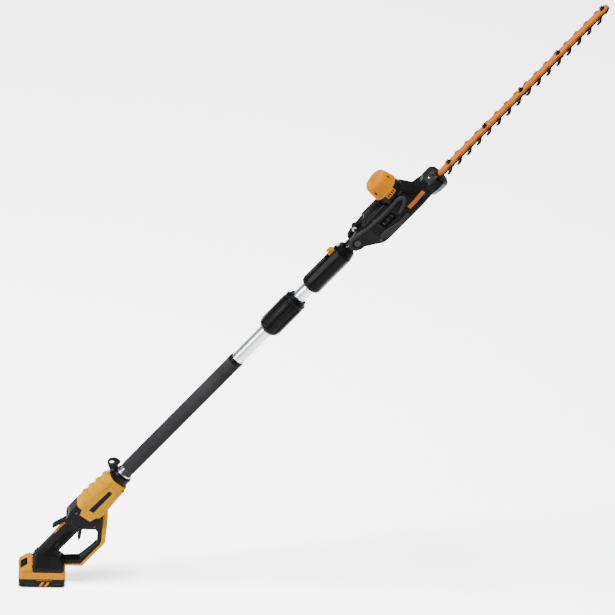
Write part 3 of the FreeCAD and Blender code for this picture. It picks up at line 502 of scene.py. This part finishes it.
def head_rim(side, word):
    """Curled rim round the vent, the line beside it and the pad below it; the rim and the pad are a paler
    grey that is painted highlight.
    """
    lip = [(873.0, -14.0), (866.5, -8.0), (864.5, 0.0), (867.0, 9.0), (874.0, 15.5),
           (886.0, 18.0), (900.0, 17.5), (925.0, 14.5), (955.0, 11.5), (985.0, 10.0),
           (1015.0, 10.5), (1038.0, 12.0), (1050.0, 10.0), (1054.0, 4.0), (1051.0, -3.0),
           (1042.0, -9.0), (1028.0, -14.0), (1015.0, -17.5)]
    # The rim's paler grey is a painted highlight along the lip.
    rail("head_lip_highlight_" + word, along_head(side, lip), 4.8, "foam", "head", count=16, flat=0.65)
    seam = [(903.0, 10.5), (928.0, 8.0), (956.0, 5.5), (985.0, 4.8), (1012.0, 5.0),
            (1033.0, 6.0), (1040.0, 2.0), (1036.0, -4.0), (1024.0, -9.0)]
    rail("head_seam_" + word, along_head(side, seam), 1.2, "lead_black", "head")
    # The pad's paler grey is a painted highlight on the rounded cheek.
    cheek = [(934.0, -27.0), (944.0, -21.5), (958.0, -21.5), (975.0, -27.0), (998.0, -32.0),
             (1026.0, -30.5), (1031.0, -35.0), (1026.0, -42.0), (954.0, -43.5), (940.0, -37.0)]
    plate("head_cheek_highlight_" + word, cheek, side * 32.0, side * 36.0, "foam", "head", 1.9)


def nose_badge(side, word):
    """Plain strip along the nose, following its taper."""
    low, high = -29.5, -19.5
    rings = []
    for x in (1042.0, 1064.0, 1080.0, 1097.0):
        y0, y1 = [side * (between(HEAD_SIDE, x) + lift) for lift in (-0.6, 0.6)]
        rings.append([(x, y0, low), (x, y1, low), (x, y1, high), (x, y0, high)])
    verts, faces = skin(rings)
    bevelled(piece("nose_badge_" + word, verts, faces, "bar_orange", "head"), 0.3)


def head_vent(side, word):
    """Lumps and louvres inside the vent."""
    low, high = sorted((side * 29.0, side * 32.2))
    lumps = [(x, x + 6.0, low, high, -13.5, -3.0) for x in (967.0, 981.0, 995.0)]
    boxes("vent_lumps_" + word, lumps, "foam", "head", 1.4)
    for step, z in enumerate((-13.6, -9.1, -4.6)):
        path = [(966.0, side * 29.0, z), (971.0, side * 29.6, z),
                (998.0, side * 29.6, z), (1003.0, side * 29.0, z)]
        rail("louvre_%s_%d" % (word, step), path, 1.0, "foam", "head")


def head_fixings(side, word):
    """Dimples on the tail and the socket of the bolt through the lug."""
    outwards = (0.0, side, 0.0)
    for step, (x, z) in enumerate(((874.0, 3.0), (880.0, 12.0))):
        stud("tail_dimple_%s_%d" % (word, step), (x, side * 21.6, z), 1.0, 1.9, "lead_black",
             "head", axis=outwards)
    stud("lug_socket_" + word, (904.0, side * 12.0, 26.8), 1.0, 3.4, "black_steel", "head",
         axis=outwards)


def head_shoulder(side, word):
    """Groove and rounded edge along one side of the deck behind the motor; the edge is a paler grey bead
    that is a painted highlight line.
    """
    low, high = sorted((side * 16.5, side * 21.5))
    boxes("deck_groove_" + word, [(942.0, 998.0, low, high, 26.0, 29.4)], "lead_black", "head",
          0.3)
    # The edge bead's paler grey is a painted highlight along the top of the head.
    edge = [(942.0, side * 22.5, 27.8), (950.0, side * 22.8, 28.4), (985.0, side * 22.8, 28.4),
            (996.0, side * 22.5, 27.8)]
    rail("deck_edge_highlight_" + word, edge, 1.4, "foam", "head")


def dress_head():
    """Trim on the head casing."""
    for side, word in SIDES:
        head_rim(side, word)
        nose_badge(side, word)
        head_vent(side, word)
        head_fixings(side, word)
        head_shoulder(side, word)
    boxes("deck_block", [(940.0, 1000.0, -14.5, 14.5, 24.0, 31.5)], "black_shell", "head", 2.4)
    boxes("deck_cap", [(948.0, 992.0, -8.0, 8.0, 30.8, 32.6)], "black_rubber", "head", 0.7)
    ridges = [(1082.0, 1112.0, y - 0.8, y + 0.8, -12.5, -8.2) for y in (-9.0, 0.0, 9.0)]
    boxes("nose_ridge", ridges, "black_shell", "head", 0.3)


GUARD_MIDDLE = -35.0       # height of the guard's own axis


def guard_point(point, turn):
    """A point given about the guard's own axis, turned about it."""
    x, y, z = turned(point, turn)
    return (x, y, z + GUARD_MIDDLE)


def guard_plate(name, outline, heights, turn, slot_name, round_by):
    """Plate lying on one flat of the guard, from an outline in x and y."""
    rings = [[guard_point((x, y, z), turn) for x, y in outline] for z in heights]
    verts, faces = skin(rings)
    bevelled(piece(name, verts, faces, slot_name, "head"), round_by)


def dress_guard():
    """Trim on the blade guard."""
    facet = ((1121.0, -8.5), (1140.0, -8.5), (1140.0, 8.5), (1121.0, 8.5))
    notch = ((1140.5, -4.0), (1145.5, -3.0), (1145.5, 3.0), (1140.5, 4.0))
    for turn, word in ((45.0, "near_top"), (-45.0, "far_top")):
        guard_plate("guard_facet_" + word, facet, (28.4, 29.6), turn, "black_shell", 0.5)
        stud("guard_rivet_" + word, guard_point((1130.0, 3.0, 29.3), turn), 1.1, 2.0,
             "bright_steel", "head", axis=turned((0.0, 0.0, 1.0), turn))
        # The notch plate's darker black is painted shade in the notch's recess.
        guard_plate("guard_notch_shade_" + word, notch, (27.2, 28.8), turn, "lead_black", 0.3)
    for side, word in SIDES:
        middle = side * 13.8
        boxes("guard_front_rib_" + word, [(1146.4, 1148.0, middle - 0.7, middle + 0.7, -52.0, -16.0)],
              "black_shell", "head", 0.3)


# Radius of the motor cap against z.
CAP_WALL = ((43.0, 35.5), (52.0, 34.9), (72.0, 32.3), (80.0, 28.3))


def motor_patch(name, side, radii, angles, heights, slot_name, round_by):
    """Curved block on the motor's wall between pairs of radii, angles in degrees and heights."""
    rings = []
    for step in range(9):
        angle = math.radians(angles[0] + (angles[1] - angles[0]) * step / 8.0)
        along, across = math.cos(angle), side * math.sin(angle)
        corners = ((radii[0], heights[0]), (radii[1], heights[0]), (radii[1], heights[1]),
                   (radii[0], heights[1]))
        rings.append([(MOTOR_X + r * along, r * across, z) for r, z in corners])
    verts, faces = skin(rings)
    bevelled(piece(name, verts, faces, slot_name, "head"), round_by)


def motor_rings():
    """Rims, beads and the hub turned about the motor's axis."""
    lathe_motor("cap_rim", [(35.0, 43.2), (36.2, 43.2), (36.4, 44.2), (36.1, 46.4), (35.2, 47.2),
                            (34.6, 47.2)], "orange_cap")
    lathe_motor("cap_hub_ring", [(12.0, 79.6), (12.4, 80.9), (14.0, 81.2), (20.0, 81.2),
                                 (21.6, 80.8), (22.0, 79.6)], "orange_cap")
    lathe_motor("cap_shoulder", [(27.6, 80.1), (28.2, 80.6), (29.4, 79.6), (30.6, 77.2),
                                 (31.4, 74.6), (30.6, 74.0)], "orange_cap")
    lathe_motor("ring_bead", [(34.0, 24.0), (35.2, 24.4), (35.5, 26.0), (35.2, 27.6),
                              (34.0, 28.0)], "black_shell")


def dress_motor():
    """Trim on the motor ring and cap."""
    motor_rings()
    bars = [(MOTOR_X - 10.0, MOTOR_X + 10.0, y - 1.1, y + 1.1, 79.8, 80.9) for y in (-6.0, 0.0, 6.0)]
    boxes("cap_hub_bars", bars, "orange_cap", "head", 0.4)
    for seam in range(8):
        angle = math.radians(22.5 + 45.0 * seam)
        path = [(MOTOR_X + between(CAP_WALL, z) * math.cos(angle),
                 -between(CAP_WALL, z) * math.sin(angle), z) for z in (48.0, 52.0, 62.0, 72.0, 79.0)]
        rail("cap_seam_%d" % seam, path, 0.45, "bar_orange", "head", count=8)
    for name, side in (("cap_screw", -1.0), ("cap_screw_far", 1.0)):
        stud(name, (MOTOR_X + side * 22.0, side * 9.0, 79.7), 1.0, 2.2, "black_steel", "head",
             axis=(0.0, 0.0, 1.0))
    for side, word in SIDES:
        motor_patch("cap_tab_" + word, side, (34.0, 36.3), (52.0, 98.0), (31.0, 45.0),
                    "orange_cap", 0.6)
        for slot_number in range(4):
            start = 58.0 + 9.5 * slot_number
            motor_patch("cap_tab_slot_%s_%d" % (word, slot_number), side, (35.6, 36.6),
                        (start, start + 4.0), (33.5, 40.5), "lead_black", 0.15)


# ------------------------------------------------------------------ blades
TOOTH_PITCH = 34.9
FIRST_TOOTH = 1178.0
TEETH = 16
BAR_TOP = -30.7
BOLTS = (1187.0, 1315.0, 1443.0, 1572.0, 1724.0)


def bar_ribs():
    """Raised edges and long swages of the bar over the blades."""
    low = BAR_TOP - 0.4
    boxes("bar_edge_rib", [(1160.0, 1728.0, 9.0, 11.3, low, BAR_TOP + 0.9)], "bar_orange", "head",
          0.4)
    boxes("bar_near_rib", [(1160.0, 1728.0, -11.3, -9.6, low, BAR_TOP + 0.5)], "bar_orange",
          "head", 0.3)
    for step, (left, right) in enumerate(zip(BOLTS, BOLTS[1:])):
        swage = [(left + 16.0, right - 16.0, -5.2, 5.2, low, BAR_TOP + 0.7)]
        boxes("bar_swage_%d" % step, swage, "bar_orange", "head", 0.6)


def tooth_grinds(low, high):
    """Bright ground strips near the tip of every tooth of one blade."""
    strips = []
    for tooth in range(TEETH):
        x = FIRST_TOOTH + TOOTH_PITCH * tooth
        for side in (-1.0, 1.0):
            y0, y1 = sorted((side * 19.0, side * 22.5))
            strips.append((x - 1.6, x + 3.2, y0, y1, low, high))
    return strips


def dress_blades():
    """Ribs and bolt sockets of the bar, and the ground tips of the teeth."""
    bar_ribs()
    for step, x in enumerate(BOLTS):
        stud("bolt_socket_%d" % step, (x, 0.0, -23.2), 0.9, 2.4, "bright_steel", "head",
             axis=(0.0, 0.0, 1.0))
    boxes("upper_tooth_grind", tooth_grinds(-36.2, -35.86), "bright_steel", "upper_blade", 0.1)
    boxes("lower_tooth_grind", tooth_grinds(-40.44, -40.1), "bright_steel", "lower_blade", 0.1)


# ------------------------------------------------------------------ handle pieces
# Height of the cover's top against x.
COVER_TOP = ((-195.0, 38.0), (-150.0, 38.0), (-60.0, 32.0), (-43.0, 27.0))
COVER_CORNER = 13.0
LOBE_FOOT = 17.0


def lobe_ring(side, x, lift):
    """One half of an arch over the cover, raised by lift, from the seam to the side face."""
    top = between(COVER_TOP, x) + lift - COVER_CORNER
    middle = 26.9 + 0.45 * lift - COVER_CORNER
    ring = [(x, side * 0.2, LOBE_FOOT), (x, side * (middle + COVER_CORNER), LOBE_FOOT)]
    for step in range(7):
        angle = math.radians(15.0 * step)
        ring.append((x, side * (middle + COVER_CORNER * math.cos(angle)),
                     top + COVER_CORNER * math.sin(angle)))
    ring.append((x, side * 0.2, top + COVER_CORNER))
    return ring


def dress_cover_lobes():
    """Raised lobes between the finger scallops on top of the yellow cover."""
    for side, word in SIDES:
        for step in range(4):
            middle = -60.5 - 25.0 * step
            shape = ((-9.0, -1.2), (-7.0, 1.0), (-4.0, 2.9), (1.0, 3.1), (5.0, 1.4), (8.0, -1.2))
            rings = [lobe_ring(side, middle + along, lift) for along, lift in shape]
            verts, faces = skin(rings)
            piece("cover_lobe_%s_%d" % (word, step), verts, faces, "yellow_shell", "root")


def cover_trim(side, word):
    """Raised panel, plain badge and crease on the yellow cover; the crease is a darker orange line of
    painted shade.
    """
    panel = [(-156.0, -14.0), (-150.0, -19.0), (-70.0, -17.0), (-62.0, -10.0), (-62.0, 8.0),
             (-70.0, 14.0), (-120.0, 19.0), (-158.0, 20.0), (-160.0, 14.0), (-172.0, 10.0),
             (-172.0, -12.0)]
    plate("cover_panel_" + word, panel, side * 26.2, side * 28.1, "yellow_shell", "root", 0.7)
    badge = [(-152.0, -7.0), (-74.0, -6.0), (-72.0, 0.0), (-74.0, 5.5), (-152.0, 8.0)]
    plate("cover_badge_" + word, badge, side * 27.6, side * 28.45, "black_shell", "root", 0.35)
    # The crease bead's darker orange is painted shade along the groove.
    crease = [(-158.0, side * 26.7, 22.4), (-120.0, side * 26.7, 21.2),
              (-72.0, side * 26.6, 16.4), (-58.0, side * 26.2, 9.5)]
    rail("cover_groove_shade_" + word, crease, 0.8, "orange_cap", "root")


def rear_trim(side, word):
    """Soft pad and edge bead on the black housing behind the cover; the bead's paler grey is a painted
    highlight.
    """
    pad = [(-184.0, 24.0), (-196.0, 24.0), (-209.0, 15.0), (-213.0, 4.0), (-209.0, -8.0),
           (-199.0, -20.0), (-188.0, -33.0), (-172.0, -39.0), (-164.0, -32.0), (-183.0, -16.0)]
    plate("rear_pad_" + word, pad, side * 25.8, side * 27.4, "black_rubber", "root", 0.8)
    # The edge bead's paler grey is a painted highlight along the housing's rim.
    edge = [(-192.0, 26.5), (-204.0, 23.0), (-214.0, 14.0), (-217.0, 4.0), (-213.5, -9.0),
            (-204.0, -21.0), (-192.0, -35.0)]
    rail("rear_edge_highlight_" + word, [(x, side * 26.4, z) for x, z in edge], 1.1, "foam", "root")


def grip_trim(side, word):
    """Soft panel and mark on the grip, and the crease along the loop guard."""
    grip = [(-366.0, -8.0), (-366.0, 3.0), (-350.0, 5.5), (-252.0, 6.5), (-240.0, 2.0),
            (-240.0, -7.0), (-252.0, -9.5), (-350.0, -10.0)]
    plate("grip_panel_" + word, grip, side * 17.0, side * 19.3, "lead_black", "root", 0.9)
    mark = [(-302.0, -2.0), (-302.0, 0.0), (-286.0, 0.4), (-286.0, -1.6)]
    plate("grip_mark_" + word, mark, side * 18.8, side * 19.6, "foam", "root", 0.2)
    crease = ((147.0, 188.0), (146.6, 150.0), (143.0, 128.0), (97.0, 69.5), (64.0, 68.0))
    rail("loop_crease_" + word, [(x, side * 12.9, z) for x, z in crease], 0.8, "black_rubber",
         "root", space=ROW)


def cross_bars(start, pitch, width, count, half, low, high):
    """Sizes of equal bars across the handle, side by side along the pole."""
    return [(start + pitch * step, start + pitch * step + width, -half, half, low, high)
            for step in range(count)]


def dress_handle():
    """Trim on the covers, the rear housing, the grip and the controls."""
    for side, word in SIDES:
        cover_trim(side, word)
        rear_trim(side, word)
        grip_trim(side, word)
    boxes("grip_ridges", cross_bars(-376.0, 7.0, 2.6, 15, 5.0, -24.2, -21.6), "black_rubber", "root",
          0.8)
    boxes("grip_crest", cross_bars(-372.0, 7.0, 2.4, 13, 5.0, 19.0, 20.9), "black_rubber", "root",
          0.7)
    boxes("insert_bar", [(-256.5, -252.5, -7.1, 7.1, 20.6, 22.4)], "black_shell", "root", 0.3)
    boxes("lever_teeth", cross_bars(-262.6, 3.6, 1.6, 4, 6.0, 38.0, 40.2), "black_shell",
          "lock_off", 0.4)
    pad = [(-230.0, -23.5), (-225.0, -28.5), (-234.0, -34.8), (-247.5, -42.5), (-250.5, -40.0),
           (-239.0, -29.5)]
    plate("trigger_pad", pad, -5.5, 5.5, "black_shell", "trigger", 1.2)
    boxes("loop_palm_pad", [(58.0, 92.0, -9.0, 9.0, 73.0, 76.6)], "black_rubber", "root", 0.8,
          space=ROW)


def dress_clamp():
    """Beads and ear of the strap clamp."""
    lathe_pole("clamp_bead_front", [(-25.0, 25.0), (-25.0, 27.3), (-24.0, 27.7), (-22.6, 26.6),
                                    (-22.6, 24.6)], "black_shell", "root")
    lathe_pole("clamp_bead_rear", [(-39.0, 24.0), (-38.4, 27.4), (-37.0, 27.7), (-36.0, 27.2),
                                   (-36.0, 24.0)], "black_shell", "root")
    web = [(-4.5, 50.5), (1.0, 50.0), (4.5, 46.0), (5.0, 33.0), (2.0, 27.5), (-8.0, 27.5),
           (-7.0, 38.5)]
    plate("strap_ear_web", web, -3.4, 3.4, "black_shell", "root", 1.0)
    eyelet_rim()


def eyelet_rim():
    """Rolled rim round the strap hook's hole."""
    middle_x, middle_z = -12.0, 46.0
    rings = []
    for r, y in ((5.7, -3.9), (7.4, -4.4), (8.6, -3.9), (8.6, 3.9), (7.4, 4.4), (5.7, 3.9)):
        ring = []
        for step in range(40):
            angle = 2.0 * math.pi * step / 40.0
            ring.append((middle_x + r * math.cos(angle), y, middle_z + r * math.sin(angle)))
        rings.append(ring)
    verts, faces = skin(rings, caps=False)
    piece("eyelet_rim", verts, faces, "black_steel", "root")


# ------------------------------------------------------------------ battery pieces
BATTERY_FACE = 38.0        # where the marks start: the case's side just above its foot
BATTERY_HALF_WIDTH = 39.0
BATTERY_HALF_LENGTH = 61.5
FOOT_CORNER = 9.0
BUTTON_CENTRE = (-47.5, 53.5)
BUTTON_SLOPE = math.atan2(20.0, 28.0)


def battery_plate(name, outline, outer, slot_name, width=0.2):
    """Thin plate on one side of the battery, out to the signed y of its outer face."""
    face = math.copysign(BATTERY_FACE, outer)
    plate(name, outline, face, outer, slot_name, "battery", width, space=ROW)


def battery_side(side, word):
    """Plain strip and marks on one side of the battery."""
    label = [(-52.0, 3.5), (54.0, 3.5), (54.0, 28.0), (32.0, 28.0), (27.0, 23.0),
             (-15.0, 23.0), (-20.0, 28.0), (-52.0, 28.0)]
    battery_plate("battery_label_" + word, label, side * 38.75, "black_shell")
    for step, left in enumerate((-8.0, 6.0)):
        stripe = [(left, 5.5), (left + 7.0, 5.5), (left + 15.0, 19.5), (left + 8.0, 19.5)]
        battery_plate("battery_mark_%s_%d" % (word, step), stripe, side * 38.95,
                      "yellow_battery", 0.15)
    step_edge = [(-19.0, 29.0), (-14.0, 24.0), (26.0, 24.0), (31.0, 29.0)]
    battery_plate("battery_step_" + word, step_edge, side * 38.85, "yellow_battery")
    for step, (left, right) in enumerate(((-44.0, -20.0), (32.0, 48.0))):
        dash = [(left, 12.5), (right, 12.5), (right, 15.0), (left, 15.0)]
        battery_plate("battery_dash_%s_%d" % (word, step), dash, side * 38.95, "foam")
    flank = [(-52.0, 32.0), (50.0, 32.0), (50.0, 38.0), (46.0, 40.0), (-48.0, 40.0),
             (-52.0, 37.0)]
    battery_plate("battery_flank_" + word, flank, side * 38.85, "yellow_battery", 0.5)


def battery_foot_rim():
    """Dark edge round the underside that the tool stands on."""
    rings = []
    for grow, z in ((-3.4, 0.4), (-1.9, 1.2), (-0.6, 3.0), (-0.6, 4.4), (-2.0, 4.4)):
        loop = rounded_rectangle(BATTERY_HALF_WIDTH + grow, BATTERY_HALF_LENGTH + grow,
                                 FOOT_CORNER)
        rings.append([(along, across, z) for across, along in loop])
    verts, faces = skin(rings, caps=False)
    piece("battery_foot_rim", verts, faces, "foam", "battery", space=ROW)


def on_button(u, v, w):
    """Point on the sloping button: u up its face, v across it and w out of it."""
    along, up = BUTTON_CENTRE
    return (along + u * math.cos(BUTTON_SLOPE) - w * math.sin(BUTTON_SLOPE), v,
            up + u * math.sin(BUTTON_SLOPE) + w * math.cos(BUTTON_SLOPE))


def dress_battery():
    """Marks, foot edge and button ridges of the battery."""
    for side, word in SIDES:
        battery_side(side, word)
    battery_foot_rim()
    for step in range(5):
        u = -6.8 + 3.4 * step
        ridge = [[on_button(u - 0.8, v, w), on_button(u + 0.8, v, w),
                  on_button(u + 0.5, v, w + 0.9), on_button(u - 0.5, v, w + 0.9)]
                 for v, w in ((-11.0, 1.8), (11.0, 1.8))]
        verts, faces = skin(ridge)
        made = piece("button_ridge_%d" % step, verts, faces, "black_shell", "battery_button",
                     space=ROW)
        bevelled(made, 0.2)


# ------------------------------------------------------------------ camera, floor, light
CAMERA_AZIMUTH = math.radians(-7.0)
CAMERA_ELEVATION = math.radians(31.9)
CAMERA_DISTANCE = 7.484
CAMERA_LENS = 175.6
VIEW_CENTRE_X = 662.0      # along the pole, mm
VIEW_CENTRE_DROP = 33.7    # below the pole on the picture, mm
FLOOR_REACH = 12.0         # half the floor's side, m


def make_camera():
    """The photo's view: the pole runs up the picture's diagonal."""
    back = Vector((math.sin(CAMERA_AZIMUTH) * math.cos(CAMERA_ELEVATION),
                   -math.cos(CAMERA_AZIMUTH) * math.cos(CAMERA_ELEVATION),
                   math.sin(CAMERA_ELEVATION)))
    along = (pole_axis - back * pole_axis.dot(back)).normalized()
    across = back.cross(along)
    right = (along - across).normalized()
    up = (along + across).normalized()
    target = POLE @ Vector((VIEW_CENTRE_X, 0, 0)) - across * VIEW_CENTRE_DROP * MM
    data = bpy.data.cameras.new("camera")
    data.lens = CAMERA_LENS
    data.sensor_width = 36.0
    camera = bpy.data.objects.new("camera", data)
    bpy.context.collection.objects.link(camera)
    place = Matrix.Identity(4)
    spot = target + back * CAMERA_DISTANCE
    for row in range(3):
        place[row][0] = right[row]
        place[row][1] = up[row]
        place[row][2] = back[row]
        place[row][3] = spot[row]
    camera.matrix_world = place
    bpy.context.scene.camera = camera


def area_light(name, spot, target, size, power):
    """Round light of the given size that faces a target."""
    data = bpy.data.lights.new(name, "AREA")
    data.shape = "DISK"
    data.size = size
    data.energy = power
    light = bpy.data.objects.new(name, data)
    bpy.context.collection.objects.link(light)
    light.location = spot
    light.rotation_euler = (Vector(target) - Vector(spot)).to_track_quat("-Z", "Y").to_euler()


def make_studio():
    """White floor, white world and three lights."""
    floor_mesh = bpy.data.meshes.new("floor")
    corners = [(-FLOOR_REACH, -FLOOR_REACH, 0), (FLOOR_REACH, -FLOOR_REACH, 0),
               (FLOOR_REACH, FLOOR_REACH, 0), (-FLOOR_REACH, FLOOR_REACH, 0)]
    floor_mesh.from_pydata(corners, [], [(0, 1, 2, 3)])
    floor = bpy.data.objects.new("floor", floor_mesh)
    bpy.context.collection.objects.link(floor)
    material, _, shader = new_material("floor_paper")
    shader.inputs["Base Color"].default_value = (0.93, 0.93, 0.93, 1.0)
    shader.inputs["Roughness"].default_value = 0.9
    shader.inputs["Specular IOR Level"].default_value = 0.0
    shader.inputs["Emission Color"].default_value = (1.0, 1.0, 1.0, 1.0)
    shader.inputs["Emission Strength"].default_value = 1.8
    floor_mesh.materials.append(material)
    world = bpy.data.worlds.new("studio")
    bpy.context.scene.world = world
    world.use_nodes = True
    world.node_tree.nodes["Background"].inputs["Color"].default_value = (1.0, 1.0, 1.0, 1.0)
    world.node_tree.nodes["Background"].inputs["Strength"].default_value = 0.30
    middle = (0.6, 0.0, 0.8)
    area_light("key", (-3.6, -1.95, 2.5), middle, 2.2, 420.0)
    area_light("top", (-0.3, -0.5, 6.0), middle, 1.3, 1500.0)
    area_light("rim", (0.5, 3.5, 3.0), middle, 2.0, 30.0)


finish_cad_nodes()
dress_pole()
dress_collar()
dress_plug()
dress_connector()
dress_head()
dress_guard()
dress_motor()
dress_blades()
dress_handle()
dress_cover_lobes()
dress_clamp()
dress_battery()
make_camera()
make_studio()
